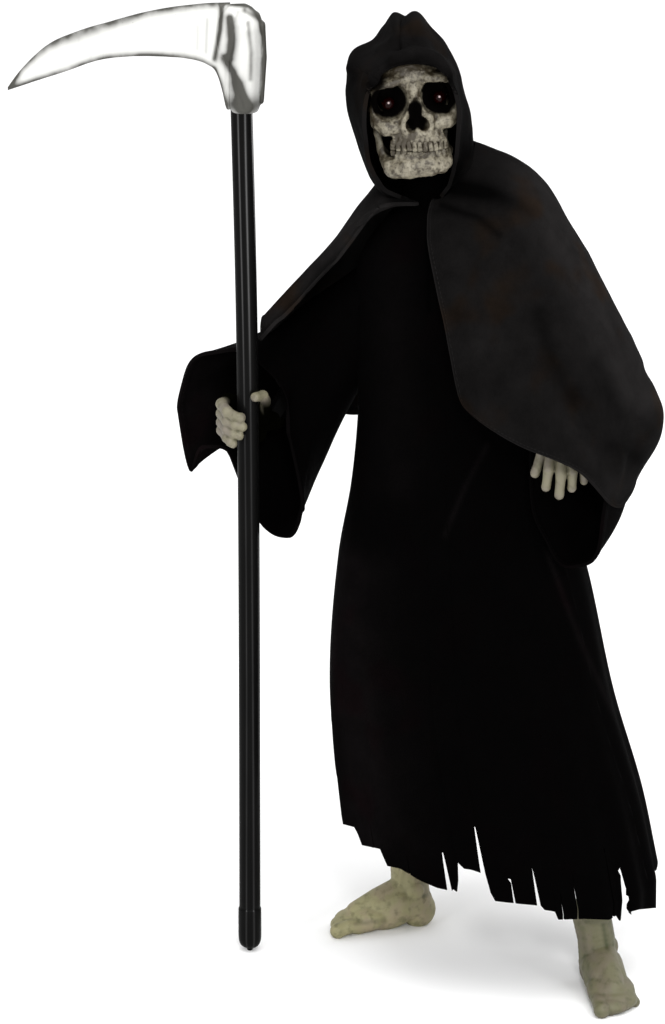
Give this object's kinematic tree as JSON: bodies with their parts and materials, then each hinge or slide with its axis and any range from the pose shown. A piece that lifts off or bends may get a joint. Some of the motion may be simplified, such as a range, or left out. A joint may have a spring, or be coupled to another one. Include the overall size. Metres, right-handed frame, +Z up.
{
  "type": "grim reaper figurine",
  "caption": "Standing hooded skeleton action figure in sewn black robe and shoulder cape, gripping a tall scythe, with bare feet and a ragged hem.",
  "frame": {"origin": "middle of the footprint, on the floor", "axes": "+Z up, -Y towards the viewer of the picture, +X to that viewer's right"},
  "size_m": [0.1954, 0.0976, 0.3018],
  "materials": {
    "bone_plastic": "bone colour with a dark brown wash in the hollows",
    "red_jewel": "clear gloss",
    "doll_plastic": "plain moulded",
    "flesh_plastic": "grey-green with pinkish brown patches",
    "robe_cloth": "plain woven black cotton",
    "cape_cloth": "plain woven black cotton, hemmed",
    "black_gloss": "high gloss",
    "silver_paint": "bright silver paint, worn dark in the grooves"
  },
  "bodies": {
    "root": {"skull": "bone_plastic", "right_eye": "red_jewel", "left_eye": "red_jewel", "body": "doll_plastic", "right_hand": "flesh_plastic", "left_hand": "flesh_plastic", "right_foot": "flesh_plastic", "left_foot": "flesh_plastic", "robe": "robe_cloth", "hooded_cape": "cape_cloth", "scythe_shaft": "black_gloss", "scythe_blade": "silver_paint"}
  },
  "joints": []
}
